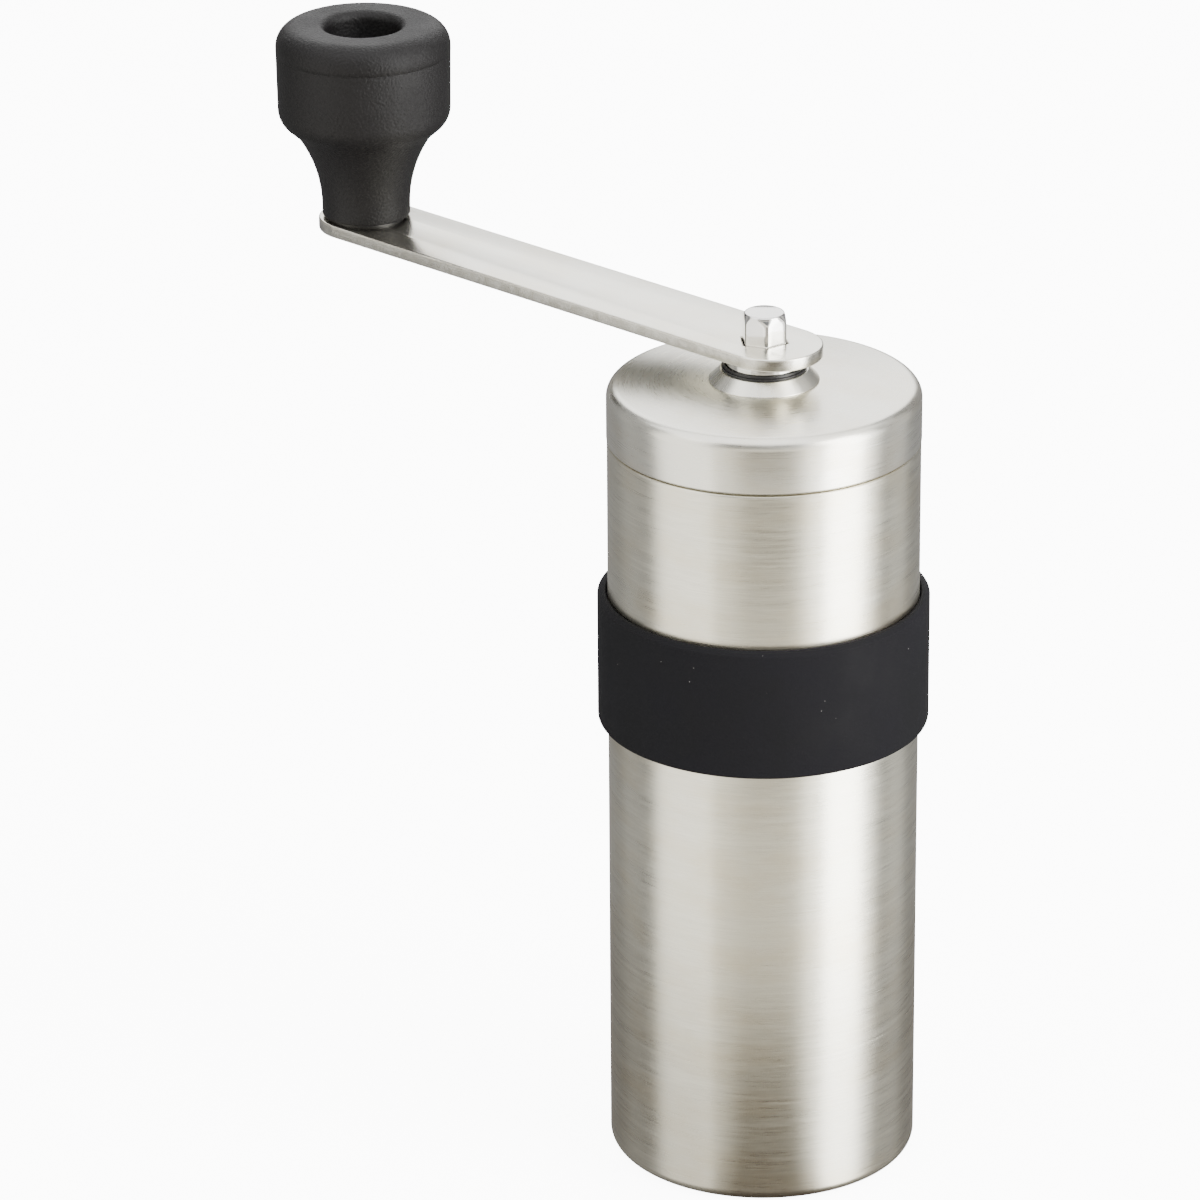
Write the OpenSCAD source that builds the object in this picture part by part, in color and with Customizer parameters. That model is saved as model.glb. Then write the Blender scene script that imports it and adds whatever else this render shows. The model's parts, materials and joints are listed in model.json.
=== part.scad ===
// Hand crank coffee grinder: grounds cup, upper body with conical burrs,
// lift-off lid, and a flat crank arm with a turning knob.
// Millimetres, +Z up. The origin is the centre of the flat bottom of the cup,
// on the axis of the drive shaft. At rest the crank arm points along -X.

/* [Body] */
// Outer diameter of the steel body
body_d = 48; // [47:0.5:52]
// Thickness of the rolled steel walls
wall = 1.0; // [0.8:0.1:1.1]
// Height of the grounds cup up to its shoulder
cup_h = 73; // [70:0.5:80]
// Thickness of the cup's floor
floor_t = 1.6; // [1:0.1:3]
// Rounding of the cup's bottom edge
foot_r = 2; // [1:0.1:3]
// Height of the upper tube, shoulder to shoulder
tube_h = 45.6; // [45:0.1:50]

/* [Grip band] */
// Height of the silicone grip band
band_h = 20.8; // [10:0.1:30]
// Thickness of the grip band
band_t = 1.6; // [1:0.1:2.5]

/* [Lid] */
// Height of the lid's side
lid_h = 8.75; // [8.5:0.05:9.5]
// Rise of the lid's top from its rim to its collar
lid_dome = 0.7; // [0.2:0.1:1]
// Rounding of the lid's top edge
lid_edge_r = 2; // [1:0.1:3]

/* [Drive shaft] */
// Diameter of the drive shaft
shaft_d = 5.8; // [5.4:0.1:5.8]
// Diameter of the polished sleeve that passes through the lid
sleeve_d = 11.84; // [11.6:0.02:11.9]
// Size of the hex head across its flats
hex_af = 6.35; // [6:0.05:6.6]
// Height of the hex head above the sleeve
hex_h = 6.6; // [5:0.1:8]
// Turn of the hex about the shaft, from the line of the crank arm
hex_turn = 19.5; // [0:0.5:60]

/* [Crank] */
// Distance from the shaft's axis to the knob's axis
crank_len = 84.6; // [70:0.1:100]
// Width of the crank arm
arm_w = 15.2; // [13.5:0.1:16]
// Thickness of the crank arm
arm_t = 2; // [1.6:0.1:3]
// Bevel along the edges of the crank arm
arm_bevel = 0.3; // [0.1:0.05:0.4]

/* [Knob] */
// Diameter of the knob's drum at its shoulder
knob_d = 27.7; // [26:0.1:30]
// Height of the knob
knob_h = 31.4; // [30:0.1:34]
// Diameter of the recess in the knob's top
recess_d = 11.8; // [11:0.1:14]
// Diameter of the pin that the knob turns on
pin_d = 5; // [4:0.1:5.2]

/* [Burrs] */
// Diameter of the fixed ring burr
ring_burr_d = 37.2; // [36:0.1:38]
// Largest diameter of the cone burr
cone_burr_d = 24.4; // [23:0.1:24.6]
// Number of deep flutes that draw the beans in
flutes = 6; // [4:1:8]
// Number of fine teeth around each burr
teeth = 24; // [18:1:30]

/* [Fits] */
// Radial clearance of a running or sliding fit
run_c = 0.05; // [0.02:0.01:0.1]
// Small gap left between flat faces that move over each other
face_gap = 0.1; // [0.05:0.05:0.2]
// Gap on each side between the hex head and the arm's hole, for easy lifting
hex_c = 0.15; // [0.05:0.05:0.3]

/* [Hidden] */
$fn = 96;

// Body radii, from the outside in
body_r = body_d / 2;
tube_in_r = body_r - wall;
neck_out_r = tube_in_r - run_c;
neck_in_r = neck_out_r - 0.95;
liner_in_r = tube_in_r - 0.8;
bevel = 0.3;

// Heights of the body's joints
tube_z = cup_h + 0.05;
seam_z = tube_z + tube_h;
neck_top_z = cup_h + 14.6;
liner_z = neck_top_z + 0.6;
liner_top_z = seam_z + 6;

// Lid
lid_r = body_r + 0.08;
lid_z = seam_z + 0.2;
lid_top_z = lid_z + lid_h;
lid_in_r = tube_in_r + run_c;
roof_z = lid_top_z - 1.1;
collar_z = lid_top_z + lid_dome;
collar_h = 1.9;
cone_top = collar_z + collar_h;
bush_in_r = sleeve_d / 2 + 0.08;
bush_out_r = bush_in_r + 0.4;
shank_r = bush_out_r + 1;

// Shaft and its bearings
shaft_r = shaft_d / 2;
run_r = shaft_r + run_c;
thread_r = shaft_r - 0.5;
groove_r = shaft_r - 0.6;
flat_half = shaft_r - 0.5;
shaft_z = cup_h - 10.5;
bracket_z = seam_z - 7.7;
bracket_h = 6;
flange_z = bracket_z + bracket_h;
high_bush_r = 5;
bush_flange_t = 0.8;
washer_z = flange_z + bush_flange_t + face_gap;
washer_t = 0.8;
sleeve_z = washer_z + washer_t;
arm_z = collar_z + 4.3;
hex_z = arm_z;
shaft_top_z = hex_z + hex_h;

// Burr set, from its lower edge up
carrier_z = cup_h + 1;
carrier_top_z = cup_h + 19;
carrier_r = neck_in_r - 0.6;
hub_top_z = cup_h + 23.5;
hub_r = 7;
web_w = 4;
web_h = 3.5;
screw_r = 1.5;
ring_r = ring_burr_d / 2;
ring_z = cup_h + 2;
ring_top_z = carrier_top_z - 1.1;
cone_r = cone_burr_d / 2;
cone_top_r = 7;
cone_z = cup_h - 1.5;
cone_wide_z = cone_z + 2;
cone_top_z = cone_z + 15;
burr_gap = 0.8;
waist_z = cup_h + 7;
pocket_z = cone_top_z - 6.5;
pocket_r = 5.1;
low_bush_r = 4.5;
thread_top_z = cone_z - 0.1;
clip_z = carrier_top_z - 2.7;
clip_t = 0.9;
spring_washer_t = 0.8;
spring_top_z = clip_z - spring_washer_t;
plate_t = 1.2;
plate_z = cone_z - plate_t;
dial_h = 5.7;
dial_z = plate_z - face_gap - dial_h;
dial_r = 9.5;
clicks = 12;

// Crank and knob
arm_top_z = arm_z + arm_t;
arm_end_r = arm_w / 2;
arm_shift = 1.8;
pin_r = pin_d / 2;
knob_washer_t = 0.3;
knob_z = arm_top_z + knob_washer_t + face_gap;
knob_r = knob_d / 2;
knob_neck_r = 7;
recess_r = recess_d / 2;
recess_z = knob_z + 19.4;
knob_bush_r = pin_r + 1.3;

// Radius of the cone burr's face at height z
function cone_at(z) = cone_r - (cone_r - cone_top_r) * (z - cone_wide_z) / (cone_top_z - cone_wide_z);

// Points of an arc about (cx, cz), from angle a0 to a1, in n steps
function arc(cx, cz, r, a0, a1, n = 8) =
    [for (i = [0:n]) let (a = a0 + (a1 - a0) * i / n) [cx + r * cos(a), cz + r * sin(a)]];

// A round tube from z0 to z1
module tube(r_out, r_in, z0, z1) {
    difference() {
        translate([0, 0, z0])
            cylinder(r = r_out, h = z1 - z0);
        translate([0, 0, z0 - 1])
            cylinder(r = r_in, h = z1 - z0 + 2);
    }
}

// Three arms from a hub's radius out to a ring's radius
module spider(r_in, r_out, w, z0, h) {
    for (a = [90, 210, 330])
        rotate([0, 0, a])
            translate([r_in, -w / 2, z0])
                cube([r_out - r_in, w, h]);
}

// A hexagonal bar, its size given across the flats
module hex_bar(af, z0, h) {
    translate([0, 0, z0])
        rotate([0, 0, hex_turn])
            cylinder(r = af / 2 / cos(30), h = h, $fn = 6);
}

// Slots laid along a cone from (r0, z0) to (r1, z1), repeated around the axis
module cone_slots(count, w, depth, r0, z0, r1, z1, skew) {
    rise = sqrt(pow(r1 - r0, 2) + pow(z1 - z0, 2));
    lean = atan2(r1 - r0, z1 - z0);
    for (i = [0:count - 1])
        rotate([0, 0, i * 360 / count])
            translate([r0, 0, z0])
                rotate([0, lean, 0])
                    rotate([skew, 0, 0])
                        translate([-depth, -w / 2, -1])
                            cube([2 * depth, w, rise + 2]);
}

module cup_shell() {
    color("silver")
        rotate_extrude()
            polygon(concat(
                [[0, 0]],
                arc(body_r - foot_r, foot_r, foot_r, -90, 0),
                [[body_r, cup_h - bevel], [body_r - bevel, cup_h], [tube_in_r, cup_h]],
                arc(tube_in_r - foot_r, floor_t + foot_r, foot_r, 0, -90),
                [[0, floor_t]]));
}

// Ring fixed inside the cup: its upper half slips up into the upper tube
module cup_neck() {
    foot_z = cup_h - 12;
    color("gainsboro")
        rotate_extrude()
            polygon([
                [neck_in_r, foot_z + 1], [tube_in_r - 0.2, foot_z], [tube_in_r, foot_z + 0.2],
                [tube_in_r, cup_h - 0.2], [neck_out_r, cup_h], [neck_out_r, neck_top_z - 0.6],
                [neck_out_r - 0.4, neck_top_z], [neck_in_r, neck_top_z]]);
}

module upper_tube() {
    color("silver")
        rotate_extrude()
            polygon([
                [tube_in_r, tube_z], [body_r - bevel, tube_z], [body_r, tube_z + bevel],
                [body_r, seam_z - bevel], [body_r - bevel, seam_z], [tube_in_r, seam_z]]);
}

// Inner liner: it holds both bearings, and its top edge guides the lid
module inner_liner() {
    color("gainsboro")
        rotate_extrude()
            polygon([
                [liner_in_r, liner_z], [tube_in_r, liner_z], [tube_in_r, liner_top_z - 0.4],
                [tube_in_r - 0.3, liner_top_z], [liner_in_r, liner_top_z]]);
}

module grip_band() {
    band_z = tube_z + 0.02;
    edge = 0.8;
    band_r = body_r + band_t;
    color([0.16, 0.16, 0.17])
        rotate_extrude()
            polygon(concat(
                [[body_r, band_z]],
                arc(band_r - edge / 2, band_z + edge / 2, edge / 2, -90, 0, 4),
                arc(band_r - edge, band_z + band_h - edge, edge, 0, 90, 5),
                [[body_r, band_z + band_h]]));
}

// Holder of the ring burr: a flange in the liner, a skirt, and a hub on three arms
module burr_carrier() {
    color("slategray")
        difference() {
            union() {
                tube(liner_in_r, ring_r, liner_z + 0.1, carrier_top_z);
                tube(carrier_r, ring_r, carrier_z, carrier_top_z);
                tube(hub_r, low_bush_r, carrier_top_z - 1, hub_top_z);
                spider(hub_r - 1, ring_r + 1, web_w, carrier_top_z - 1, web_h);
            }
            for (a = [30, 150, 270])
                rotate([0, 90, a])
                    translate([-waist_z, 0, ring_r - 1])
                        cylinder(r = screw_r, h = carrier_r - ring_r + 2, $fn = 32);
        }
}

module ring_burr() {
    low_r = cone_at(ring_z) + burr_gap;
    waist_r = cone_at(waist_z) + burr_gap;
    mouth_r = ring_r - 2.6;
    color("dimgray")
        difference() {
            rotate_extrude()
                polygon([
                    [low_r, ring_z], [ring_r - 0.4, ring_z], [ring_r, ring_z + 0.4],
                    [ring_r, ring_top_z], [mouth_r, ring_top_z], [waist_r, waist_z]]);
            cone_slots(teeth, 0.8, 0.5, low_r, ring_z, waist_r, waist_z, 8);
            cone_slots(2 * flutes, 2, 0.9, waist_r, waist_z, mouth_r, ring_top_z, 12);
        }
}

module burr_grub_screws() {
    screw_h = carrier_r - ring_r - 0.3;
    socket_r = 0.75;
    socket_h = 1.2;
    color("black")
        for (a = [30, 150, 270])
            rotate([0, 90, a])
                translate([-waist_z, 0, ring_r])
                    difference() {
                        cylinder(r = screw_r, h = screw_h, $fn = 32);
                        translate([0, 0, screw_h - socket_h])
                            cylinder(r = socket_r, h = socket_h + 1, $fn = 6);
                    }
}

// Flanged plain bearing with its flange below
module bush_lower() {
    flange_t = 0.6;
    seat_z = carrier_top_z - 1;
    color("darkgoldenrod")
        difference() {
            union() {
                translate([0, 0, seat_z - flange_t])
                    cylinder(r = low_bush_r + 1.1, h = flange_t);
                translate([0, 0, seat_z])
                    cylinder(r = low_bush_r, h = hub_top_z - seat_z);
            }
            translate([0, 0, seat_z - 2])
                cylinder(r = run_r, h = hub_top_z - seat_z + 4);
        }
}

module bearing_bracket() {
    hub = hub_r + 1;
    rim_in = liner_in_r - 1.3;
    color("slategray") {
        tube(liner_in_r, rim_in, bracket_z, flange_z);
        tube(hub, high_bush_r, bracket_z, flange_z);
        spider(hub - 0.5, rim_in + 0.5, web_w, bracket_z + 1, web_h);
    }
}

// Flanged plain bearing with its flange above
module bush_upper() {
    color("darkgoldenrod")
        difference() {
            union() {
                translate([0, 0, bracket_z])
                    cylinder(r = high_bush_r, h = bracket_h);
                translate([0, 0, flange_z])
                    cylinder(r = hub_r, h = bush_flange_t);
            }
            translate([0, 0, bracket_z - 1])
                cylinder(r = run_r, h = bracket_h + 3);
        }
}

module lid_shell() {
    lip = 0.4;
    color("silver")
        rotate_extrude()
            polygon(concat(
                [[lid_in_r, lid_z]],
                arc(lid_r - lip, lid_z + lip, lip, -90, 0, 4),
                arc(lid_r - lid_edge_r, lid_top_z - lid_edge_r, lid_edge_r, 0, 90),
                [[shank_r, collar_z], [shank_r, roof_z], [lid_in_r, roof_z]]));
}

// Steel cone around the shaft's hole, with a shank through the lid
module lid_collar() {
    base_r = shank_r + 1.05;
    base_h = 0.15;
    top_r = bush_out_r + 0.3;
    color("silver")
        rotate_extrude()
            polygon([
                [bush_out_r, roof_z - 1], [shank_r, roof_z - 1], [shank_r, collar_z],
                [base_r, collar_z], [base_r, collar_z + base_h], [top_r, cone_top],
                [bush_out_r, cone_top]]);
}

// Black bush through the lid, with two small lips above the steel cone
module lid_bush() {
    foot_z = roof_z - 1.4;
    lip_h = 0.42;
    low_lip_r = bush_out_r + 0.15;
    high_lip_r = bush_out_r - 0.1;
    color("black")
        rotate_extrude()
            polygon([
                [bush_in_r, foot_z], [bush_out_r, foot_z], [bush_out_r, cone_top],
                [low_lip_r, cone_top], [low_lip_r, cone_top + lip_h],
                [high_lip_r, cone_top + lip_h], [high_lip_r, cone_top + 2 * lip_h],
                [bush_in_r, cone_top + 2 * lip_h]]);
}

module lid_gasket() {
    color([0.85, 0.85, 0.82])
        tube(lid_in_r - 0.15, liner_in_r - 0.5, liner_top_z + 0.35, roof_z);
}

// Shaft in one piece: thread, driving flats, journal, clip groove and hex head
module drive_shaft() {
    flats_top_z = cone_top_z + 1.6;
    color("gainsboro") {
        difference() {
            union() {
                translate([0, 0, shaft_z])
                    cylinder(r1 = thread_r - 0.4, r2 = thread_r, h = 0.4);
                translate([0, 0, shaft_z + 0.4])
                    cylinder(r = thread_r, h = thread_top_z - shaft_z - 0.3);
                translate([0, 0, thread_top_z])
                    cylinder(r = shaft_r, h = hex_z + 1 - thread_top_z);
            }
            for (side = [-1, 1])
                translate([-shaft_d, side * (flat_half + shaft_r) - shaft_r, thread_top_z])
                    cube([2 * shaft_d, shaft_d, flats_top_z - thread_top_z]);
            tube(shaft_r + 1, groove_r, clip_z, clip_z + clip_t);
        }
        intersection() {
            hex_bar(hex_af, hex_z, hex_h);
            rotate_extrude()
                polygon(concat(
                    [[0, hex_z - 1], [5, hex_z - 1], [hex_af / 2 + 1, shaft_top_z - 2.4]],
                    arc(hex_af / 2 - 0.5, shaft_top_z - 0.5, 0.5, 20, 90, 4),
                    [[0, shaft_top_z]]));
        }
    }
}

module shaft_sleeve() {
    r = sleeve_d / 2;
    color("whitesmoke")
        rotate_extrude()
            polygon([
                [shaft_r, sleeve_z], [r - 0.3, sleeve_z], [r, sleeve_z + 0.3],
                [r, arm_z - 0.25], [r - 0.25, arm_z], [shaft_r, arm_z]]);
}

module thrust_washer() {
    color("whitesmoke")
        tube(hub_r - 0.3, shaft_r, washer_z, sleeve_z);
}

// Open spring clip in the shaft's groove
module retaining_clip() {
    clip_r = 4.6;
    mouth_w = 3.2;
    color("dimgray")
        difference() {
            tube(clip_r, groove_r, clip_z, clip_z + clip_t);
            translate([0, -mouth_w / 2, clip_z - 1])
                cube([clip_r + 1, mouth_w, clip_t + 2]);
        }
}

module spring_washer() {
    color("whitesmoke")
        tube(pocket_r - 0.2, shaft_r, spring_top_z, clip_z);
}

// Wire wound into a compression spring, its first and last turns closed
module coil(r, wire_r, z0, z1, turns, steps = 20, sides = 8) {
    last = turns * steps;
    end_rise = 2.1 * wire_r;
    rise = z1 - z0 - 2 * wire_r;
    heights = [[0, 0], [1, end_rise], [turns - 1, rise - end_rise], [turns, rise]];
    points = [for (i = [0:last], k = [0:sides - 1])
        let (
            a = 360 * i / steps,
            b = 360 * k / sides,
            d = r + wire_r * cos(b))
        [d * cos(a), d * sin(a), z0 + wire_r + lookup(i / steps, heights) + wire_r * sin(b)]];
    sleeve = [for (i = [0:last - 1], k = [0:sides - 1])
        let (
            a = i * sides,
            next = (k + 1) % sides)
        [a + k, a + next, a + sides + next, a + sides + k]];
    first_cap = [[for (k = [1:sides]) sides - k]];
    last_cap = [[for (k = [0:sides - 1]) last * sides + k]];
    polyhedron(points, concat(sleeve, first_cap, last_cap));
}

// Compression spring that holds the cone burr down on its dial
module burr_spring() {
    wire_r = 0.5;
    turns = 5;
    end_gap = 0.05;
    color("gainsboro")
        coil(shaft_r + 1.1, wire_r, pocket_z + end_gap, spring_top_z - end_gap, turns);
}

// Bore with two flats, which the shaft's flats drive
module driven_bore(z0, h) {
    intersection() {
        translate([0, 0, z0])
            cylinder(r = run_r, h = h);
        translate([-shaft_d, -flat_half - run_c, z0])
            cube([2 * shaft_d, 2 * (flat_half + run_c), h]);
    }
}

module cone_burr() {
    color("dimgray")
        difference() {
            rotate_extrude()
                polygon([
                    [0, cone_z], [cone_r - 0.8, cone_z], [cone_r, cone_wide_z],
                    [cone_top_r, cone_top_z - 0.3], [cone_top_r - 0.3, cone_top_z], [0, cone_top_z]]);
            driven_bore(cone_z - 1, cone_top_z - cone_z + 2);
            translate([0, 0, pocket_z])
                cylinder(r = pocket_r, h = cone_top_z - pocket_z + 1);
            cone_slots(teeth, 0.9, 0.5, cone_r, cone_wide_z, cone_at(waist_z), waist_z, -8);
            cone_slots(flutes, 2.4, 1, cone_at(waist_z), waist_z, cone_top_r, cone_top_z, -14);
        }
}

// Notched plate under the cone burr, for the dial's clicks
module click_plate() {
    plate_r = 8.5;
    notch_w = 0.8;
    notch_depth = 0.9;
    color("silver")
        difference() {
            translate([0, 0, plate_z])
                cylinder(r = plate_r, h = plate_t);
            driven_bore(plate_z - 1, plate_t + 2);
            for (i = [0:clicks - 1])
                rotate([0, 0, i * 360 / clicks])
                    translate([plate_r - notch_depth, -notch_w / 2, plate_z - 1])
                        cube([2 * notch_depth, notch_w, plate_t + 2]);
        }
}

// Adjusting dial, threaded on the shaft's lower end
module adjuster_dial() {
    boss_h = 1.2;
    grip_r = 1.7;
    color("silver")
        difference() {
            union() {
                translate([0, 0, dial_z])
                    cylinder(r = dial_r, h = dial_h - boss_h);
                translate([0, 0, dial_z + dial_h - boss_h])
                    cylinder(r = dial_r - 1.5, h = boss_h);
            }
            translate([0, 0, dial_z - 1])
                cylinder(r = thread_r + run_c, h = dial_h + 2);
            for (i = [0:clicks - 1])
                rotate([0, 0, (i + 0.5) * 360 / clicks])
                    translate([dial_r + grip_r - 1, 0, dial_z - 1])
                        cylinder(r = grip_r, h = dial_h + 2, $fn = 32);
        }
}

// Flat bar with round ends and bevelled edges, along -X from the shaft to the knob
module arm_blank() {
    b = arm_bevel;
    for (x = [arm_shift, -crank_len])
        translate([x, 0, arm_z])
            rotate_extrude()
                polygon([
                    [0, 0], [arm_end_r - b, 0], [arm_end_r, b], [arm_end_r, arm_t - b],
                    [arm_end_r - b, arm_t], [0, arm_t]]);
    translate([arm_shift, 0, arm_z])
        rotate([90, 0, -90])
            linear_extrude(height = crank_len + arm_shift)
                polygon([
                    [-arm_end_r + b, 0], [arm_end_r - b, 0], [arm_end_r, b],
                    [arm_end_r, arm_t - b], [arm_end_r - b, arm_t], [-arm_end_r + b, arm_t],
                    [-arm_end_r, arm_t - b], [-arm_end_r, b]]);
}

module crank_arm() {
    color("silver")
        difference() {
            arm_blank();
            hex_bar(hex_af + 2 * hex_c, arm_z - 1, arm_t + 2);
            translate([-crank_len, 0, arm_z - 1])
                cylinder(r = pin_r, h = arm_t + 2);
        }
}

// Headed pin, riveted under the arm and headed again in the knob's recess
module knob_pin() {
    head_z = recess_z + face_gap + 0.6;
    color("gainsboro")
        translate([-crank_len, 0, 0])
            rotate_extrude()
                polygon(concat(
                    [[0, arm_z - 1]],
                    arc(3.3, arm_z - 0.3, 0.7, -90, 0, 4),
                    [[4, arm_z], [pin_r, arm_z], [pin_r, head_z], [4.8, head_z]],
                    arc(3.8, head_z + 1, 1, 0, 90, 4),
                    [[0, head_z + 2]]));
}

module knob_washer() {
    color("black")
        translate([-crank_len, 0, 0])
            tube(knob_neck_r - 0.8, pin_r, arm_top_z, arm_top_z + knob_washer_t);
}

module pin_washer() {
    color("whitesmoke")
        translate([-crank_len, 0, 0])
            tube(recess_r - 0.7, pin_r, recess_z + face_gap, recess_z + face_gap + 0.6);
}

// Knob: straight neck, concave flare, crease, rounded drum and recessed top
module knob() {
    flare_r = 21;
    flare_z = 1.5;
    drum_z = 17.8;
    drum_edge_r = 3.8;
    drum_low_r = knob_r - 0.15;
    shoulder_r = 3.5;
    lip_r = 1.5;
    foot = 0.5;
    color([0.13, 0.13, 0.14])
        translate([-crank_len, 0, knob_z])
            rotate_extrude()
                polygon(concat(
                    [[knob_bush_r, 0]],
                    arc(knob_neck_r - foot, foot, foot, -90, 0, 3),
                    arc(knob_neck_r + flare_r, flare_z, flare_r, 180, 144.5, 12),
                    arc(drum_low_r - drum_edge_r, drum_z, drum_edge_r, -42, 0),
                    arc(knob_r - shoulder_r, knob_h - shoulder_r, shoulder_r, 0, 90),
                    arc(recess_r + lip_r, knob_h - lip_r, lip_r, 90, 180, 6),
                    [[recess_r, recess_z - knob_z], [knob_bush_r, recess_z - knob_z]]));
}

module knob_bush() {
    color("darkgoldenrod")
        translate([-crank_len, 0, 0])
            tube(knob_bush_r, pin_r + run_c, knob_z, recess_z);
}

cup_shell();
cup_neck();
upper_tube();
inner_liner();
grip_band();
burr_carrier();
ring_burr();
burr_grub_screws();
bush_lower();
bearing_bracket();
bush_upper();
lid_shell();
lid_collar();
lid_bush();
lid_gasket();
drive_shaft();
shaft_sleeve();
thrust_washer();
retaining_clip();
spring_washer();
burr_spring();
cone_burr();
click_plate();
adjuster_dial();
crank_arm();
knob_pin();
knob_washer();
pin_washer();
knob();
knob_bush();
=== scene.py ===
import json
from math import cos, pi, radians, sin
import bmesh
import bpy
from mathutils import Matrix, Vector


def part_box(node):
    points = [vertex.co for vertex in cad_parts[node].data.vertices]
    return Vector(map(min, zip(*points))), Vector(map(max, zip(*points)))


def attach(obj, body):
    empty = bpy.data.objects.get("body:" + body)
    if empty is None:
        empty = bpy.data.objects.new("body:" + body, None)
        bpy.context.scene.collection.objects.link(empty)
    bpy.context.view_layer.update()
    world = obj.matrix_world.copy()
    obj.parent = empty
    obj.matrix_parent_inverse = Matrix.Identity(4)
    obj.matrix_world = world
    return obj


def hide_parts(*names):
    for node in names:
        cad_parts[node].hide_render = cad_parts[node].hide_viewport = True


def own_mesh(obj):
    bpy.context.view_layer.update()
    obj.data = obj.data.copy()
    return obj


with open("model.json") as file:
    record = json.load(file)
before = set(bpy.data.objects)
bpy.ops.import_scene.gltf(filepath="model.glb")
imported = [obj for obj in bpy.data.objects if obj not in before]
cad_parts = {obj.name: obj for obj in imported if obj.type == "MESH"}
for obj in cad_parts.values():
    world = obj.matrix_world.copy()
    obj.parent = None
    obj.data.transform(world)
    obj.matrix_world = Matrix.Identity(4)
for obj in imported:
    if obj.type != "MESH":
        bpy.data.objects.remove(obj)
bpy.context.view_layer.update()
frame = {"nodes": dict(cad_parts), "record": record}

# ---------------------------------------------------------------- places, from the frame
MM = 0.001
STEPS = 256  # round every turned piece
WALL = 1.0 * MM
SHAFT_R = 2.9 * MM
COLLAR_STEP = 1.05 * MM  # how far the cone overhangs the lid's hole
HEX_FLATS = 6.35 * MM
HEX_GAP = 0.15 * MM
HEX_TURN = 19.5  # a corner's angle from the frame's x axis, in degrees


def radius_of(node):
    low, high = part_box(node)
    return (high[0] - low[0]) / 2


def span(node):
    """(lowest z, highest z) of a CAD node."""
    low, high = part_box(node)
    return low[2], high[2]


BODY_R = radius_of("cup_shell")
KNOB_X = (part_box("knob")[0][0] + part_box("knob")[1][0]) / 2
TARGET = Vector((0, 0, span("lid_shell")[1] / 2))


def arc(cr, cz, r, a0, a1, n=8):
    """Points of an arc about (cr, cz): n + 1 of them, angles in degrees."""
    turns = [radians(a0 + (a1 - a0) * i / n) for i in range(n + 1)]
    return [(cr + r * cos(a), cz + r * sin(a)) for a in turns]


# ---------------------------------------------------------------- camera
# Angles in degrees. The camera's place is written with the crank arm turned by CRANK_TURN.
CRANK_TURN = 41.5
PITCH = 22.916
YAW = -1.476
ROLL = 0.402
CAMERA_PLACE = Vector((-0.0002, -0.9687, 0.5014))


def make_camera():
    data = bpy.data.cameras.new("camera")
    data.lens = 205
    data.sensor_width = 36
    data.clip_start = 0.05
    data.clip_end = 20
    camera = bpy.data.objects.new("camera", data)
    bpy.context.scene.collection.objects.link(camera)
    turn = Matrix.Rotation(radians(CRANK_TURN), 4, "Z")
    aim = Matrix.Rotation(radians(CRANK_TURN - YAW), 4, "Z")
    aim = aim @ Matrix.Rotation(radians(90 - PITCH), 4, "X")
    aim = aim @ Matrix.Rotation(radians(-ROLL), 4, "Z")
    camera.matrix_world = Matrix.Translation(turn @ CAMERA_PLACE) @ aim
    bpy.context.scene.camera = camera


# ---------------------------------------------------------------- stage
FLOOR_LIFT = 9.0  # glow of the floor, for the camera only, so that it reads as plain white
ROOM_LIGHT = 0.9
ROOM_IN_METAL = 0.33
# The floor that metal sees, by its distance from the axis in metres and its share of darkness
FILM_START = 0.085
FILM_END = 0.122
FILM_DARK = 0.46
FILM_PATCH = 0.46
FILM_FAR_START = 0.20
FILM_FAR_END = 0.33
FILM_FAR = 0.85
# The wedge in front: its direction to the right of the camera, half its angle, and its soft edge
FILM_SIDE = 3
FILM_HALF = 20
FILM_SOFT = 7


def softbox(name, side, height_angle, distance, width, height, glow, tint=(1, 1, 1)):
    """A rectangular light. side is its angle to the right of the camera, in degrees.
    glow is its brightness, whatever its size."""
    a, e = radians(CRANK_TURN - 90 + side), radians(height_angle)
    data = bpy.data.lights.new(name, "AREA")
    data.shape = "RECTANGLE"
    data.size, data.size_y = width, height
    data.energy = glow * pi * width * height
    data.color = tint
    light = bpy.data.objects.new(name, data)
    light.location = TARGET + distance * Vector((cos(e) * cos(a), cos(e) * sin(a), sin(e)))
    light.rotation_euler = (TARGET - light.location).to_track_quat("-Z", "Y").to_euler()
    light.visible_camera = False
    bpy.context.scene.collection.objects.link(light)


def is_ray(tree, kind):
    return tree.nodes.new("ShaderNodeLightPath").outputs[kind]


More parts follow.
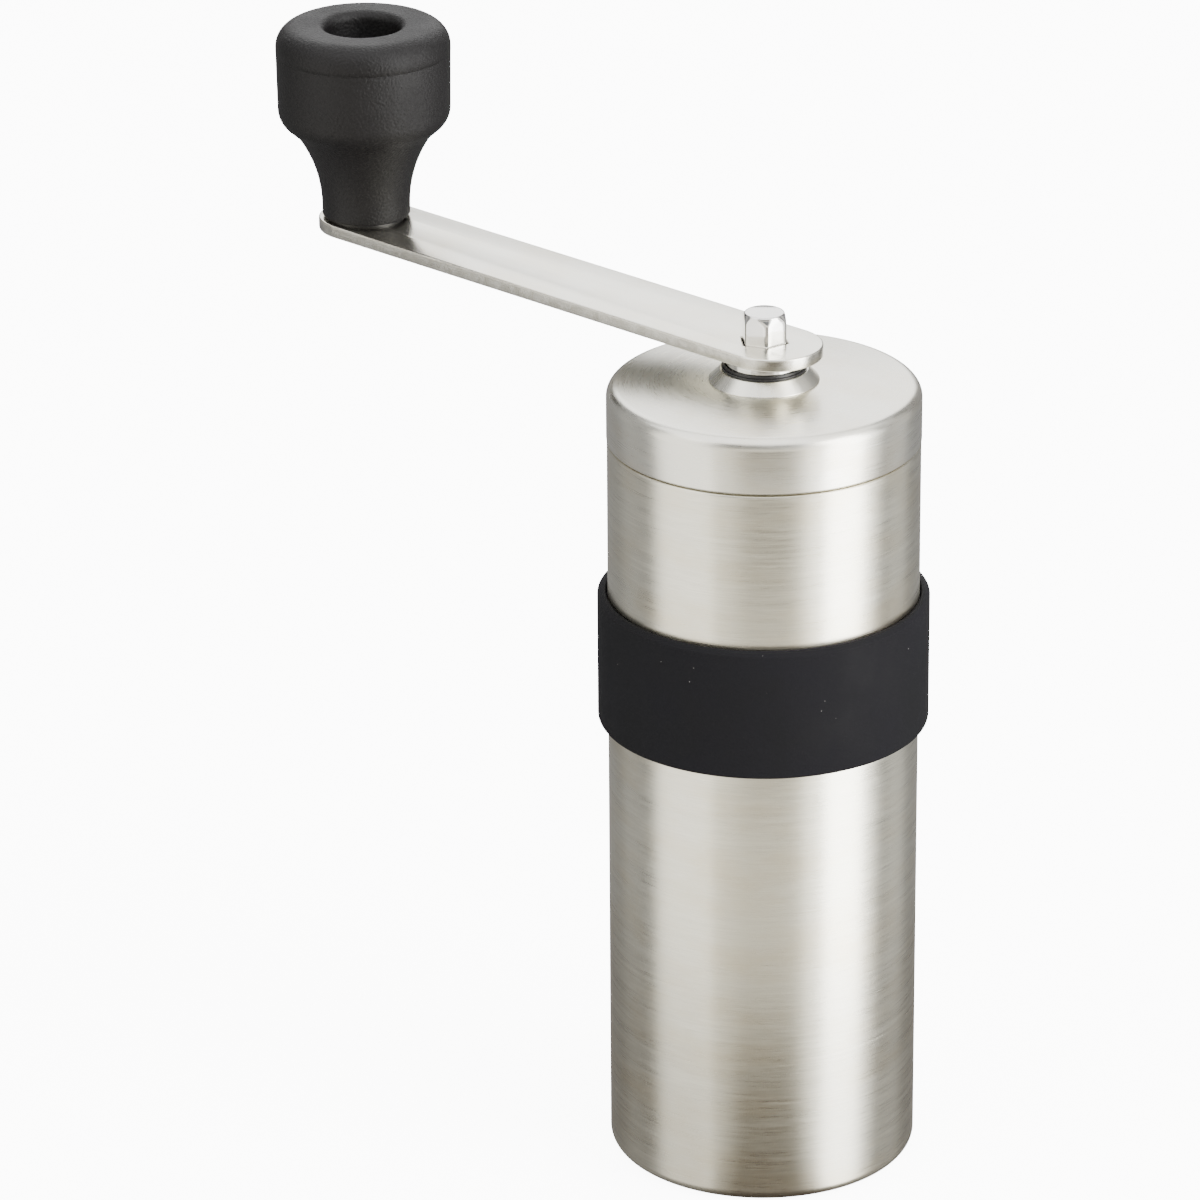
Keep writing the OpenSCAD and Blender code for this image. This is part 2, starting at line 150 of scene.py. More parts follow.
def floor_film(tree):
    """What metal sees of the floor: nothing, but for a soft dark ring round the object and a darker
    wedge in front of it, near and far, as a shaded tabletop gives."""

    def maths(operation, a, b, clamp=False):
        node = tree.nodes.new("ShaderNodeMath")
        node.operation, node.use_clamp = operation, clamp
        for value, socket in zip((a, b), node.inputs):
            if isinstance(value, bpy.types.NodeSocket):
                tree.links.new(value, socket)
            else:
                socket.default_value = value
        return node.outputs[0]

    def fade(value, start, end):
        """0 at start, 1 at end, and clamped outside them."""
        return maths("DIVIDE", maths("SUBTRACT", value, start), end - start, True)

    split = tree.nodes.new("ShaderNodeSeparateXYZ")
    tree.links.new(tree.nodes.new("ShaderNodeNewGeometry").outputs["Position"], split.inputs[0])
    x, y = split.outputs[0], split.outputs[1]
    reach = maths("SQRT", maths("ADD", maths("MULTIPLY", x, x), maths("MULTIPLY", y, y)), 0)
    near = fade(reach, FILM_END, FILM_START)
    a = radians(CRANK_TURN - 90 + FILM_SIDE)
    ahead = maths("ADD", maths("MULTIPLY", x, cos(a)), maths("MULTIPLY", y, sin(a)))
    facing = maths("DIVIDE", ahead, reach)
    edge, full = (cos(radians(FILM_HALF + soft)) for soft in (FILM_SOFT, -FILM_SOFT))
    wedge = fade(facing, edge, full)
    far = fade(reach, FILM_FAR_START, FILM_FAR_END)
    ring = maths("MULTIPLY", near, maths("ADD", FILM_DARK, maths("MULTIPLY", wedge, FILM_PATCH)))
    beyond = maths("MULTIPLY", wedge, maths("MULTIPLY", far, FILM_FAR))
    depth = maths("ADD", ring, beyond)
    dark = tree.nodes.new("ShaderNodeBsdfDiffuse")
    dark.inputs["Color"].default_value = (0.030, 0.022, 0.014, 1)
    clear = tree.nodes.new("ShaderNodeBsdfTransparent")
    film = tree.nodes.new("ShaderNodeMixShader")
    tree.links.new(depth, film.inputs["Fac"])
    tree.links.new(clear.outputs[0], film.inputs[1])
    tree.links.new(dark.outputs[0], film.inputs[2])
    return film.outputs[0]


def make_floor():
    """Pale floor. Metal doesn't mirror it, so that the tall strip lights run unbroken down the body."""
    mesh = bpy.data.meshes.new("floor")
    reach = 3.0
    corners = [(-reach, -reach, 0), (reach, -reach, 0), (reach, reach, 0), (-reach, reach, 0)]
    mesh.from_pydata(corners, [], [(0, 1, 2, 3)])
    floor = bpy.data.objects.new("floor", mesh)
    bpy.context.scene.collection.objects.link(floor)
    paint = bpy.data.materials.new("floor_paint")
    paint.use_nodes = True
    tree = paint.node_tree
    pale = tree.nodes["Principled BSDF"]
    pale.inputs["Base Color"].default_value = (0.93, 0.93, 0.93, 1)
    pale.inputs["Roughness"].default_value = 0.9
    pale.inputs["Emission Color"].default_value = (1, 1, 1, 1)
    lift = tree.nodes.new("ShaderNodeMath")
    lift.operation = "MULTIPLY"
    lift.inputs[1].default_value = FLOOR_LIFT
    tree.links.new(is_ray(tree, "Is Camera Ray"), lift.inputs[0])
    tree.links.new(lift.outputs[0], pale.inputs["Emission Strength"])
    film = floor_film(tree)
    blend = tree.nodes.new("ShaderNodeMixShader")
    tree.links.new(is_ray(tree, "Is Glossy Ray"), blend.inputs["Fac"])
    tree.links.new(pale.outputs[0], blend.inputs[1])
    tree.links.new(film, blend.inputs[2])
    tree.links.new(blend.outputs[0], tree.nodes["Material Output"].inputs["Surface"])
    mesh.materials.append(paint)


def make_world():
    """Even soft room light, which metal sees as a dim grey room."""
    world = bpy.data.worlds.new("studio")
    world.use_nodes = True
    tree = world.node_tree
    level = tree.nodes.new("ShaderNodeMapRange")
    level.inputs["To Min"].default_value = ROOM_LIGHT
    level.inputs["To Max"].default_value = ROOM_IN_METAL
    tree.links.new(is_ray(tree, "Is Glossy Ray"), level.inputs["Value"])
    background = tree.nodes["Background"]
    background.inputs["Color"].default_value = (1, 1, 1, 1)
    tree.links.new(level.outputs[0], background.inputs["Strength"])
    bpy.context.scene.world = world


def make_lights():
    softbox("strip_right", 61, 0, 1.70, 0.95, 3.4, 10.5)
    softbox("glow_right", 60, 0, 1.75, 2.0, 3.4, 2.0, (1, 0.99, 0.95))
    softbox("side_right", 114, 0, 1.70, 0.7, 3.4, 0.5, (1, 0.99, 0.95))
    softbox("strip_left", -61, 0, 1.70, 1.4, 3.4, 2.2, (1, 0.98, 0.92))
    softbox("side_left", -112, 0, 1.70, 0.7, 3.4, 0.18, (1, 0.98, 0.92))
    softbox("front_low", 0, -17, 1.70, 2.8, 2.3, 1.25, (1, 0.95, 0.82))
    softbox("back", 180, 36, 1.7, 1.5, 1.4, 3.0)
    softbox("overhead", 0, 84, 1.7, 3.6, 2.0, 2.6)


# ---------------------------------------------------------------- materials
class Nodes:
    """A short way to add nodes to one material."""

    def __init__(self, name):
        self.material = bpy.data.materials.new(name)
        self.material.use_nodes = True
        self.tree = self.material.node_tree
        self.shader = self.tree.nodes["Principled BSDF"]
        self.place = self.add("ShaderNodeTexCoord").outputs["Object"]

    def add(self, kind, **values):
        node = self.tree.nodes.new(kind)
        for key, value in values.items():
            setattr(node, key, value)
        return node

    def link(self, source, target):
        if isinstance(source, bpy.types.NodeSocket):
            self.tree.links.new(source, target)
        else:
            target.default_value = source

    def maths(self, operation, a, b=0.0, clamp=False):
        node = self.add("ShaderNodeMath", operation=operation, use_clamp=clamp)
        self.link(a, node.inputs[0])
        self.link(b, node.inputs[1])
        return node.outputs[0]

    def vector(self, x, y, z):
        node = self.add("ShaderNodeCombineXYZ")
        for value, socket in zip((x, y, z), node.inputs):
            self.link(value, socket)
        return node.outputs[0]

    def noise(self, where, scale=1.0, detail=3.0, rough=0.5):
        node = self.add("ShaderNodeTexNoise")
        self.link(where, node.inputs["Vector"])
        node.inputs["Scale"].default_value = scale
        node.inputs["Detail"].default_value = detail
        node.inputs["Roughness"].default_value = rough
        return node.outputs[0]

    def ramp(self, value, low, high, to_low=0.0, to_high=1.0):
        node = self.add("ShaderNodeMapRange")
        self.link(value, node.inputs["Value"])
        numbers = (low, high, to_low, to_high)
        for key, number in zip(("From Min", "From Max", "To Min", "To Max"), numbers):
            node.inputs[key].default_value = number
        return node.outputs[0]

    def mix(self, factor, a, b):
        node = self.add("ShaderNodeMix", data_type="RGBA")
        self.link(factor, node.inputs["Factor"])
        self.link(a, node.inputs["A"])
        self.link(b, node.inputs["B"])
        return node.outputs["Result"]

    def bump(self, height, distance, strength=1.0, under=None):
        node = self.add("ShaderNodeBump")
        self.link(height, node.inputs["Height"])
        node.inputs["Distance"].default_value = distance
        node.inputs["Strength"].default_value = strength
        if under is not None:
            self.link(under, node.inputs["Normal"])
        return node.outputs[0]


def tone(colour, factor):
    return tuple(c * factor for c in colour[:3]) + (1,)


def around(n, centre_x=0.0, along=4.0, across=9000.0):
    """Coordinates for marks that run round a vertical axis: slow round it, fast up and outward."""
    split = n.add("ShaderNodeSeparateXYZ")
    n.link(n.place, split.inputs[0])
    x = n.maths("SUBTRACT", split.outputs[0], centre_x)
    y = split.outputs[1]
    r = n.maths("SQRT", n.maths("ADD", n.maths("MULTIPLY", x, x), n.maths("MULTIPLY", y, y)))
    r = n.maths("MAXIMUM", r, 1e-5)
    cx = n.maths("MULTIPLY", n.maths("DIVIDE", x, r), along)
    cy = n.maths("MULTIPLY", n.maths("DIVIDE", y, r), along)
    cz = n.maths("MULTIPLY", n.maths("ADD", split.outputs[2], r), across)
    return n.vector(cx, cy, cz)


def straight(n, along=(1, 0, 0), slow=60.0, fast=9000.0):
    """Coordinates for marks that run along one axis of the frame."""
    split = n.add("ShaderNodeSeparateXYZ")
    n.link(n.place, split.inputs[0])
    parts = [n.maths("MULTIPLY", split.outputs[i], slow if along[i] else fast) for i in range(3)]
    return n.vector(*parts)


def brushed(name, colour, rough=0.30, centre_x=0.0, round_marks=True, aniso=0.55, depth=0.000012,
            contrast=1.0):
    """Brushed steel: fine lines, longer bands, faint blotches and a few stray scratches."""
    n = Nodes(name)
    if round_marks:
        fine = n.noise(around(n, centre_x, 5.0, 9000.0), 1.0, 4, 0.65)
        bands = n.noise(around(n, centre_x, 1.6, 1500.0), 1.0, 3, 0.6)
    else:
        fine = n.noise(straight(n, slow=60, fast=9000), 1.0, 4, 0.65)
        bands = n.noise(straight(n, slow=20, fast=1500), 1.0, 3, 0.6)
    stretch = n.add("ShaderNodeMapping")
    n.link(n.place, stretch.inputs["Vector"])
    stretch.inputs["Scale"].default_value = (1, 1, 2.2)
    blotch = n.noise(stretch.outputs[0], 60, 4, 0.6)
    slant = n.add("ShaderNodeMapping")
    n.link(n.place, slant.inputs["Vector"])
    slant.inputs["Rotation"].default_value = (radians(24), radians(31), radians(12))
    slant.inputs["Scale"].default_value = (90, 90, 5200)
    stray = n.ramp(n.noise(slant.outputs[0], 1.0, 2, 0.5), 0.68, 0.76)
    lines = n.maths("ADD", n.maths("MULTIPLY", fine, 0.6), n.maths("MULTIPLY", bands, 0.4))
    shade = n.ramp(lines, 0.40, 0.60, 0.0, 1.0)
    steel = n.mix(shade, tone(colour, 1 - 0.13 * contrast), tone(colour, 1 + 0.08 * contrast))
    warm = (colour[0] * 0.90, colour[1] * 0.845, colour[2] * 0.76, 1)
    steel = n.mix(n.ramp(blotch, 0.46, 0.72, 0.0, 0.75), steel, warm)
    steel = n.mix(n.maths("MULTIPLY", stray, 0.25), steel, tone(colour, 1.15))
    if not round_marks:  # a bar's upright flanks get a darker, mottled colour than its brushed faces
        split = n.add("ShaderNodeSeparateXYZ")
        n.link(n.add("ShaderNodeNewGeometry").outputs["True Normal"], split.inputs[0])
        flank = n.ramp(n.maths("ABSOLUTE", split.outputs[2]), 0.3, 0.1)
        stain = n.ramp(n.noise(n.place, 420, 4, 0.65), 0.4, 0.62)
        flank_colour = n.mix(stain, tone((0.80, 0.77, 0.68), 0.62), tone((0.80, 0.78, 0.71), 0.78))
        steel = n.mix(flank, steel, flank_colour)
    n.link(steel, n.shader.inputs["Base Color"])
    n.link(n.ramp(lines, 0.35, 0.65, rough * 0.85, rough * 1.2), n.shader.inputs["Roughness"])
    height = n.maths("ADD", lines, n.maths("MULTIPLY", stray, 0.6))
    n.link(n.bump(height, depth), n.shader.inputs["Normal"])
    n.shader.inputs["Metallic"].default_value = 1.0
    n.shader.inputs["Anisotropic"].default_value = aniso
    if round_marks:
        n.shader.inputs["Anisotropic Rotation"].default_value = 0.25
        tangent = n.add("ShaderNodeTangent", direction_type="RADIAL", axis="Z")
        n.link(tangent.outputs[0], n.shader.inputs["Tangent"])
    return n.material


def polished(name, colour, rough=0.08):
    """Polished steel with a trace of turning marks and faint handling smudges."""
    n = Nodes(name)
    marks = n.noise(around(n, 0.0, 3.0, 6000.0), 1.0, 3, 0.6)
    smudge = n.noise(n.place, 260, 3, 0.6)
    n.link(n.mix(smudge, tone(colour, 0.93), tone(colour, 1.03)), n.shader.inputs["Base Color"])
    n.link(n.ramp(smudge, 0.3, 0.7, rough * 0.7, rough * 1.6), n.shader.inputs["Roughness"])
    n.link(n.bump(marks, 0.000003), n.shader.inputs["Normal"])
    n.shader.inputs["Metallic"].default_value = 1.0
    return n.material


def machined(name, colour, rough=0.35, centre_x=0.0, metallic=1.0):
    """Turned metal: concentric tool marks, and a patchy tone, darker and lighter in places."""
    n = Nodes(name)
    marks = n.noise(around(n, centre_x, 1.0, 5000.0), 1.0, 2, 0.6)
    stain = n.noise(n.place, 180, 4, 0.6)
    n.link(n.mix(n.ramp(stain, 0.35, 0.7), tone(colour, 0.85), tone(colour, 1.08)),
           n.shader.inputs["Base Color"])
    n.link(n.ramp(marks, 0.3, 0.7, rough * 0.75, rough * 1.3), n.shader.inputs["Roughness"])
    n.link(n.bump(marks, 0.00001), n.shader.inputs["Normal"])
    n.shader.inputs["Metallic"].default_value = metallic
    return n.material


def cast(name, colour, rough=0.5):
    """Cast and blasted metal: a fine pebbled face."""
    n = Nodes(name)
    grain = n.noise(n.place, 4200, 3, 0.6)
    stain = n.noise(n.place, 150, 3, 0.5)
    n.link(n.mix(stain, tone(colour, 0.88), tone(colour, 1.06)), n.shader.inputs["Base Color"])
    n.link(n.ramp(grain, 0.3, 0.7, rough * 0.85, rough * 1.15), n.shader.inputs["Roughness"])
    n.link(n.bump(grain, 0.00002), n.shader.inputs["Normal"])
    n.shader.inputs["Metallic"].default_value = 1.0
    return n.material


def moulded(name, colour, rough=0.45, grain_scale=2600, grain_depth=0.00003, dust=0.0, gloss=0.5):
    """Moulded plastic or silicone: fine grain, uneven sheen, and dust where asked."""
    n = Nodes(name)
    grain = n.noise(n.place, grain_scale, 3, 0.55)
    sheen = n.noise(n.place, 90, 3, 0.5)
    base = n.mix(n.ramp(sheen, 0.3, 0.7), tone(colour, 0.8), tone(colour, 1.3))
    if dust:
        specks = n.add("ShaderNodeTexVoronoi", feature="F1")
        n.link(n.place, specks.inputs["Vector"])
        specks.inputs["Scale"].default_value = 520
        size = n.ramp(n.noise(n.place, 130, 2, 0.5), 0.5, 0.8, 0.0, 0.13)
        dot = n.maths("LESS_THAN", specks.outputs["Distance"], size)
        base = n.mix(n.maths("MULTIPLY", dot, dust), base, (0.45, 0.44, 0.42, 1))
    n.link(base, n.shader.inputs["Base Color"])
    n.link(n.ramp(sheen, 0.3, 0.7, rough * 0.88, rough * 1.15), n.shader.inputs["Roughness"])
    n.link(n.bump(grain, grain_depth), n.shader.inputs["Normal"])
    n.shader.inputs["Specular IOR Level"].default_value = gloss
    return n.material


STEEL = (0.745, 0.722, 0.620)
LID_STEEL = (0.79, 0.775, 0.70)
MATERIALS = {
    "steel_body": brushed("steel_body", STEEL, 0.30, contrast=0.8),
    "steel_lid": brushed("steel_lid", LID_STEEL, 0.29, aniso=0.4, depth=0.0000015, contrast=0.25),
    "steel_inner": brushed("steel_inner", tone(STEEL, 0.95), 0.34),
    "steel_arm": brushed("steel_arm", LID_STEEL, 0.22, round_marks=False, aniso=0.3, contrast=0.6),
    "steel_polished": polished("steel_polished", (0.80, 0.79, 0.77)),
    "steel_burr": machined("steel_burr", (0.24, 0.24, 0.245), 0.38),
    "steel_dial": machined("steel_dial", (0.55, 0.55, 0.54), 0.30),
    "band_silicone": moulded("band_silicone", (0.0038, 0.0036, 0.0050), 0.78, 5200, 0.000012,
                             dust=0.30, gloss=0.18),
    "gasket_silicone": moulded("gasket_silicone", (0.62, 0.62, 0.58), 0.55, 5200, 0.000012),
    "knob_plastic": moulded("knob_plastic", (0.0031, 0.0026, 0.0028), 0.52, 2500, 0.00016,
                            gloss=0.26),
    "bush_black": moulded("bush_black", (0.010, 0.010, 0.011), 0.4, 3000, 0.00001),
    "bush_bronze": machined("bush_bronze", (0.45, 0.28, 0.12), 0.36),
    "carrier_alu": cast("carrier_alu", (0.42, 0.43, 0.45), 0.42),
}


def paint(obj, slot_name):
    """Puts a slot's material on every face of an object."""
    obj.data.materials.clear()
    obj.data.materials.append(MATERIALS[slot_name])


# ---------------------------------------------------------------- mesh helpers
def mesh_piece(name, verts, faces, slot_name, body, node, sharp=35):
    """A piece from its points and faces. It rides on a body and replaces one CAD node."""
    mesh = bpy.data.meshes.new(name)
    mesh.from_pydata(verts, [], faces)
    mesh.validate()
    joined = bmesh.new()
    joined.from_mesh(mesh)
    bmesh.ops.remove_doubles(joined, verts=joined.verts, dist=1e-7)
    bmesh.ops.recalc_face_normals(joined, faces=joined.faces)
    joined.to_mesh(mesh)
    joined.free()
    mesh.polygons.foreach_set("use_smooth", [True] * len(mesh.polygons))
    mesh.set_sharp_from_angle(angle=radians(sharp))
    obj = bpy.data.objects.new(name, mesh)
    bpy.context.scene.collection.objects.link(obj)
    paint(obj, slot_name)
    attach(obj, body)
    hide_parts(node)
    return obj


def lathe(name, outline, slot_name, body, node, centre_x=0.0, closed=True, sharp=35):
    """A turned piece: outline is (radius, z) points, in order. It replaces one CAD node."""
    rings, verts, faces = [], [], []
    for r, z in outline:
        if r < 1e-7:
            rings.append([len(verts)])
            verts.append((centre_x, 0, z))
            continue
        rings.append(list(range(len(verts), len(verts) + STEPS)))
        for i in range(STEPS):
            a = 2 * pi * i / STEPS
            verts.append((centre_x + r * cos(a), r * sin(a), z))
    pairs = list(zip(rings, rings[1:]))
    if closed:
        pairs.append((rings[-1], rings[0]))
    for low, high in pairs:
        if len(low) == 1 and len(high) == 1:
            continue
        for i in range(STEPS):
            j = (i + 1) % STEPS
            if len(low) == 1:
                faces.append((low[0], high[j], high[i]))
            elif len(high) == 1:
                faces.append((low[i], low[j], high[0]))
            else:
                faces.append((low[i], low[j], high[j], high[i]))
    return mesh_piece(name, verts, faces, slot_name, body, node, sharp)


# ---------------------------------------------------------------- pieces
def make_cup():
    """Grounds cup, its bottom edge rounded."""
    low, top = span("cup_shell")
    wall_in = BODY_R - WALL
    foot = 2.0 * MM
    floor_top = 1.6 * MM
    edge = 0.3 * MM
    outline = [(0, low), (BODY_R - 4.5 * MM, low)]
    outline += arc(BODY_R - foot, low + foot, foot, -90, 0, 14)
    outline += arc(BODY_R - edge, top - edge, edge, 0, 90, 5)
    outline += [(wall_in, top)]
    outline += arc(wall_in - foot, floor_top + foot, foot, 0, -90, 8)
    outline += [(0, floor_top)]
    lathe("cup_wall", outline, "steel_body", "cup", "cup_shell", closed=False)


def make_tube():
    """Upper tube, its ends softly broken."""
    low, top = span("upper_tube")
    wall_in = BODY_R - WALL
    edge = 0.45 * MM
    outline = [(wall_in, low)]
    outline += arc(BODY_R - edge, low + edge, edge, -90, 0, 5)
    outline += arc(BODY_R - edge, top - edge, edge, 0, 90, 6)
    outline += [(wall_in, top)]
    lathe("tube_wall", outline, "steel_body", "upper", "upper_tube")


def make_band():
    """Grip band: a bevelled top edge, and a groove between it and the tube."""
    low, top = span("grip_band")
    out = radius_of("grip_band")
    inner = BODY_R + 0.02 * MM
    foot = 0.4 * MM
    bevel = 0.7 * MM
    soft = 0.12 * MM
    lip = 0.15 * MM
    groove_r = BODY_R + 0.45 * MM
    groove_depth = 1.1 * MM
    outline = [(inner, low)]
    outline += arc(out - foot, low + foot, foot, -90, 0, 6)
    outline += arc(out - soft, top - bevel, soft, 0, 45, 3)
    outline += arc(out - bevel, top - soft, soft, 45, 90, 3)
    outline += [(groove_r, top)]
    outline += arc(groove_r, top - lip, lip, 90, 180, 3)
    outline += [(BODY_R + 0.25 * MM, top - 0.9 * MM), (inner, top - groove_depth)]
    lathe("band_ring", outline, "band_silicone", "upper", "grip_band", sharp=40)


def make_lid():
    """Lid: a slightly domed top with a rounded rim, and a hole for the cone."""
    low, top = span("lid_shell")
    out = radius_of("lid_shell")
    dome = 0.7 * MM
    rim = top - dome
    fillet = 2.0 * MM
    lip = 0.35 * MM
    chamfer = 1.0 * MM
    hole = radius_of("lid_collar") - COLLAR_STEP
    roof = rim - 1.1 * MM
    wall_in = BODY_R - 0.95 * MM
    outline = [(wall_in, low)]
    outline += arc(out - lip, low + lip, lip, -90, 0, 6)
    outline += arc(out - fillet, rim - fillet, fillet, 0, 88, 14)
    steps = 10
    start = out - fillet
    for i in range(1, steps + 1):
        t = i / steps
        outline.append((start + (hole - start) * t, rim + dome * sin(t * pi / 2)))
    outline += [(hole, roof), (wall_in - chamfer, roof), (wall_in, roof - chamfer)]
    lathe("lid_cap", outline, "steel_lid", "lid", "lid_shell", sharp=40)


def make_knob():
    """Knob: a neck that flares into a drum, a fine mould line, a round shoulder and a recess."""
    low, top = span("knob")
    out = radius_of("knob")
    bore = radius_of("knob_bush")
    neck = 7.0 * MM
    foot = 0.3 * MM
    flare = 21 * MM
    flare_z = low + 1.5 * MM
    drum_edge = 3.8 * MM
    drum_low = out - 0.15 * MM
    drum_z = low + 17.8 * MM
    shoulder = 3.5 * MM
    line = top - shoulder - 0.9 * MM
    line_depth = 0.04 * MM
    line_width = 0.1 * MM
    lip = 1.5 * MM
    recess = 5.9 * MM
    recess_floor = low + 19.4 * MM - 0.38 * MM
    corner = 0.6 * MM
    outline = [(bore, low)]
    outline += arc(neck - foot, low + foot, foot, -90, 0, 5)
    outline += arc(neck + flare, flare_z, flare, 180, 145.2, 20)
    outline += arc(drum_low - drum_edge, drum_z, drum_edge, -44, 0, 14)
    outline += [(out - line_depth / 2, line)]
    outline += [(out - line_depth, line + line_width / 2), (out, line + line_width)]
    outline += arc(out - shoulder, top - shoulder, shoulder, 0, 90, 14)
    outline += arc(recess + lip, top - lip, lip, 90, 180, 12)
    outline += [(recess, recess_floor + corner), (recess - corner, recess_floor)]
    outline += [(bore, recess_floor)]
    lathe("knob_grip", outline, "knob_plastic", "knob", "knob", centre_x=KNOB_X, sharp=50)


def make_bush():
    """Black bush in the lid, with two small rounded lips above the steel cone."""
    low, top = span("lid_bush")
    bore = radius_of("shaft_sleeve") + 0.08 * MM
    wall = bore + 0.4 * MM
    cone_top = span("lid_collar")[1]
    soft = 0.12 * MM
    lip = (top - cone_top) / 2
    low_lip = wall + 0.15 * MM - soft
    high_lip = wall - 0.1 * MM - soft
    outline = [(bore, low), (wall, low), (wall, cone_top)]
    outline += arc(low_lip, cone_top + lip - soft, soft, 0, 90, 5)
    outline += [(high_lip + soft, cone_top + lip - 0.03 * MM)]
    outline += arc(high_lip, top - soft, soft, 0, 90, 5)
    outline += arc(bore + soft, top - soft, soft, 90, 180, 5)
    lathe("bush_lips", outline, "bush_black", "lid", "lid_bush", sharp=50)


def make_collar():
    """Steel cone round the shaft's hole, its edges broken."""
    low, top = span("lid_collar")
    base = span("lid_shell")[1]
    out = radius_of("lid_collar")
    bore = radius_of("shaft_sleeve") + 0.48 * MM
    shank = out - COLLAR_STEP
    rim = bore + 0.3 * MM
    soft = 0.1 * MM
    outline = [(bore, low), (shank, low), (shank, base), (out - 0.05 * MM, base)]
    outline += [(out, base + 0.05 * MM), (out, base + 0.12 * MM), (out - 0.06 * MM, base + 0.2 * MM)]
    outline += arc(rim - 0.02 * MM, top - soft, soft, 30, 90, 4)
    outline += [(bore, top)]
    lathe("collar_cone", outline, "steel_lid", "lid", "lid_collar", sharp=50)


def make_sleeve():
    """Polished sleeve between the bearing and the crank arm."""
    low, top = span("shaft_sleeve")
    out = radius_of("shaft_sleeve")
    bore = SHAFT_R
    soft = 0.25 * MM
    outline = [(bore, low)]
    outline += arc(out - soft, low + soft, soft, -90, 0, 5)
    outline += arc(out - soft, top - soft, soft, 0, 90, 5)
    outline += [(bore, top)]
    lathe("sleeve_tube", outline, "steel_polished", "shaft", "shaft_sleeve", sharp=50)


def make_shaft():
    """Shaft in one piece: screw thread, driving flats, clip groove and a hex head with soft corners."""
    low, top = span("drive_shaft")
    hex_low = span("crank_arm")[0]
    thread_top = span("cone_burr")[0] - 0.1 * MM
    flats_top = span("cone_burr")[1] + 1.6 * MM
    groove_low, groove_top = span("retaining_clip")
    thread, thread_depth, thread_lead, pitch = 2.4 * MM, 0.22 * MM, 0.4 * MM, 0.5 * MM
    flat = SHAFT_R - 0.5 * MM
    groove = SHAFT_R - 0.6 * MM
    half = HEX_FLATS / 2
    crown_z, crown_in, crown_slope = 0.33 * MM, 0.03 * MM, 0.5
    edge = 0.5 * MM
    corner_blend, crown_blend = 22, 40  # the higher, the crisper the edge between two faces
    first_flat = radians(HEX_TURN + 30)

    def screw(a, z):
        wave = abs((z / pitch - a / (2 * pi)) % 1.0 - 0.5) * 2
        return min(thread - thread_depth * wave, thread - thread_lead + (z - low))

    def journal(a, z):
        r = SHAFT_R
        if z < flats_top:
            r = min(r, flat / max(abs(sin(a)), 1e-3))
        if groove_low < z < groove_top:
            r = min(r, groove)
        return r

    def head(a, z):
        sides = [abs(cos(a - first_flat + i * pi / 3) / half) ** corner_blend for i in range(3)]
        flats = sum(sides) ** (-1 / corner_blend)
        drop = top - z
        crown = half - crown_in + crown_slope * (drop - crown_z)
        if drop < edge:
            crown = min(crown, half - edge + max(0.0, edge ** 2 - (edge - drop) ** 2) ** 0.5)
        return (flats ** -crown_blend + crown ** -crown_blend) ** (-1 / crown_blend)

    def radius(a, z):
        if z < thread_top:
            return screw(a, z)
        return journal(a, z) if z < hex_low else head(a, z)

    def steps(z0, z1, size):
        count = max(1, round((z1 - z0) / size))
        return [z0 + (z1 - z0) * i / count for i in range(count)]

    hair = 0.01 * MM
    shoulder, brow = top - 3.2 * MM, top - 0.6 * MM
    heights = steps(low, thread_top - hair, pitch / 8) + [thread_top - hair, thread_top, groove_low]
    heights += [groove_low + hair, groove_top - hair, groove_top, flats_top - hair, flats_top]
    heights += [hex_low - hair, hex_low] + steps(hex_low + 0.1 * MM, shoulder, 1 * MM)
    heights += steps(shoulder, brow, 0.1 * MM) + steps(brow, top, 0.05 * MM) + [top]
    around_steps = 240
    verts, faces = [], []
    for z in heights:
        for i in range(around_steps):
            a = 2 * pi * i / around_steps
            r = radius(a, z)
            verts.append((r * cos(a), r * sin(a), z))
    for k in range(len(heights) - 1):
        for i in range(around_steps):
            j = (i + 1) % around_steps
            a, b = k * around_steps, (k + 1) * around_steps
            faces.append((a + i, a + j, b + j, b + i))
    last = (len(heights) - 1) * around_steps
    verts += [(0, 0, low), (0, 0, top)]
    for i in range(around_steps):
        j = (i + 1) % around_steps
        faces.append((len(verts) - 2, j, i))
        faces.append((len(verts) - 1, last + i, last + j))
    mesh_piece("shaft_bar", verts, faces, "steel_polished", "shaft", "drive_shaft", sharp=50)


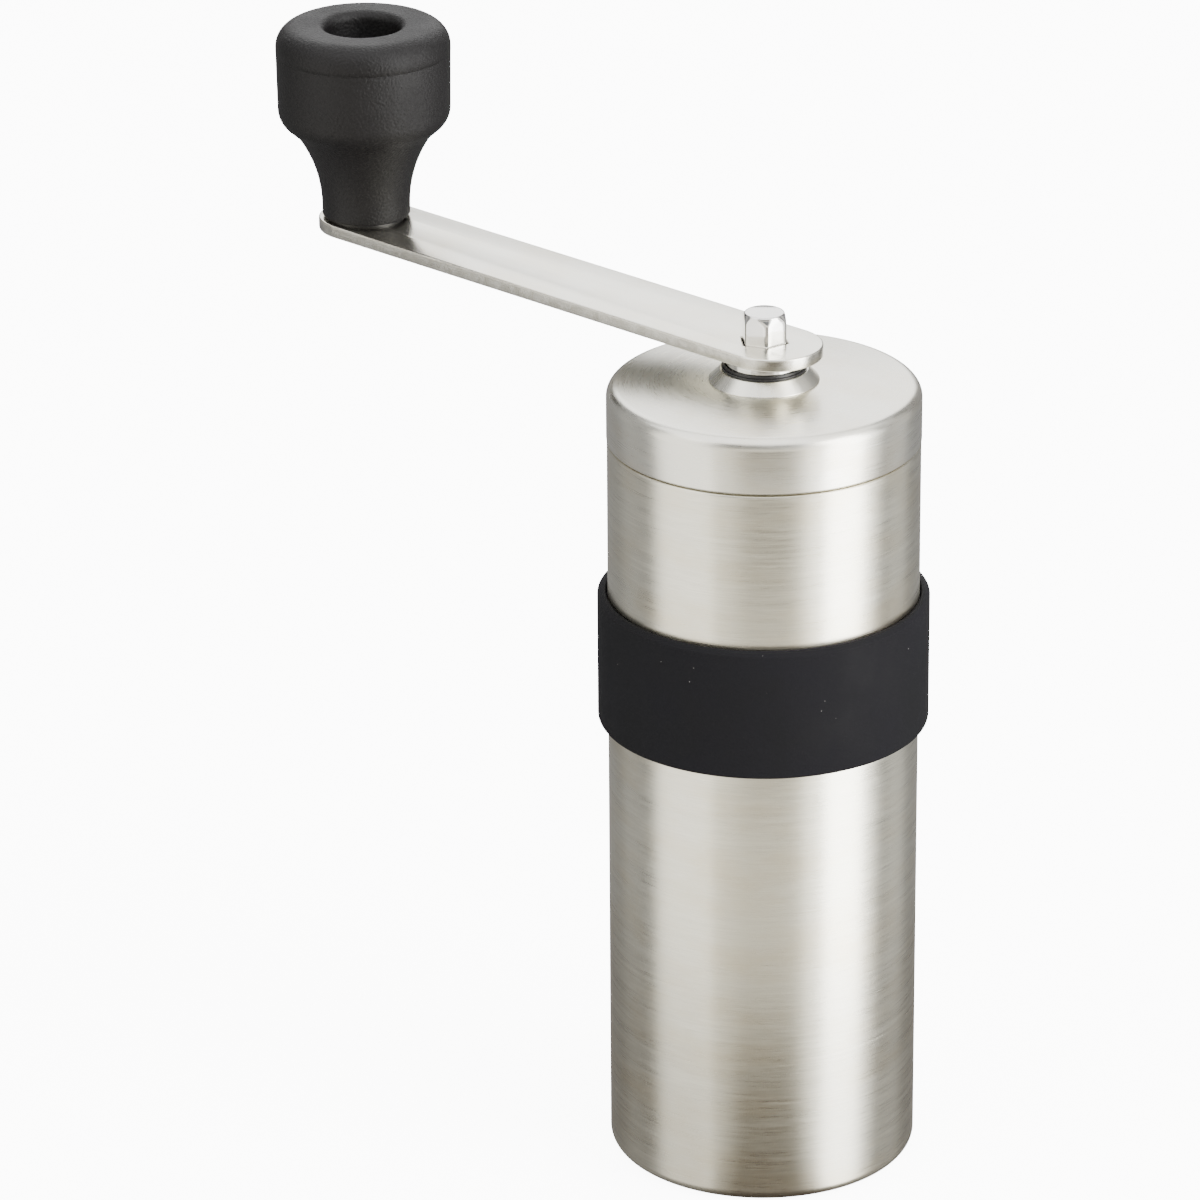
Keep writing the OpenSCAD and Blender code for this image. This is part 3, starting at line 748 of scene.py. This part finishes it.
def make_arm():
    """Crank arm: a flat bar with round ends and softly broken edges, a hex hole and a pin hole."""
    low, top = span("crank_arm")
    box_low, box_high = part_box("crank_arm")
    half = (box_high[1] - box_low[1]) / 2
    soft = 0.32 * MM
    pin_hole = 2.5 * MM
    near, far = box_high[0] - half, box_low[0] + half
    rounds = arc(near, 0, half, -90, 90, 60) + arc(far, 0, half, 90, 270, 60)
    corner = (HEX_FLATS / 2 + HEX_GAP) / cos(radians(30))
    hexagon = arc(0, 0, corner, HEX_TURN + 300, HEX_TURN, 5)
    pin = arc(KNOB_X, 0, pin_hole, 0, -354, 59)
    data = bpy.data.curves.new("arm_outline", "CURVE")
    data.dimensions = "2D"
    data.fill_mode = "BOTH"
    for ring in (rounds, hexagon, pin):
        line = data.splines.new("POLY")
        line.points.add(len(ring) - 1)
        for point, (x, y) in zip(line.points, ring):
            point.co = (x, y, 0, 1)
        line.use_cyclic_u = True
    data.extrude = (top - low) / 2 - soft
    data.bevel_depth = soft
    data.bevel_resolution = 4
    data.offset = -soft
    draft = bpy.data.objects.new("arm_outline", data)
    bpy.context.scene.collection.objects.link(draft)
    bpy.context.view_layer.update()
    graph = bpy.context.evaluated_depsgraph_get()
    mesh = bpy.data.meshes.new_from_object(draft.evaluated_get(graph))
    verts = [(v.co.x, v.co.y, v.co.z + (low + top) / 2) for v in mesh.vertices]
    faces = [tuple(p.vertices) for p in mesh.polygons]
    bpy.data.objects.remove(draft)
    mesh_piece("arm_bar", verts, faces, "steel_arm", "handle", "crank_arm", sharp=35)


def make_spring():
    """Coil spring above the cone burr, its end turns lying flat. It rides on the burr."""
    low, top = span("burr_spring")
    wire = 0.5 * MM
    middle = radius_of("burr_spring") - wire
    turns, steps, sides = 5, 48, 14
    end_rise = 2.1 * wire
    rise = top - low - 2 * wire
    slope = (rise - 2 * end_rise) / (turns - 2)
    verts, faces = [], []
    for i in range(turns * steps + 1):
        t = i / steps
        z = low + wire + min(t, 1) * end_rise + max(0, min(t, turns - 1) - 1) * slope
        z += max(0, t - turns + 1) * end_rise
        a = 2 * pi * t
        for k in range(sides):
            b = 2 * pi * k / sides
            r = middle + wire * cos(b)
            verts.append((r * cos(a), r * sin(a), z + wire * sin(b)))
    for i in range(turns * steps):
        for k in range(sides):
            a, b = i * sides + k, i * sides + (k + 1) % sides
            faces.append((a, b, b + sides, a + sides))
    faces += [tuple(range(sides)), tuple(range(turns * steps * sides, len(verts)))]
    spring = mesh_piece("spring_coil", verts, faces, "steel_polished", "burr", "burr_spring", 50)
    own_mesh(spring)


def finish_cad_nodes():
    """Every CAD node gets its slot's material."""
    slots = {s["node"]: s["material_slot"] for s in frame["record"]["subparts"]}
    for name, obj in frame["nodes"].items():
        paint(obj, slots[name])


make_camera()
make_floor()
make_world()
make_lights()
make_cup()
make_tube()
make_band()
make_lid()
make_knob()
make_bush()
make_collar()
make_sleeve()
make_shaft()
make_arm()
make_spring()
finish_cad_nodes()
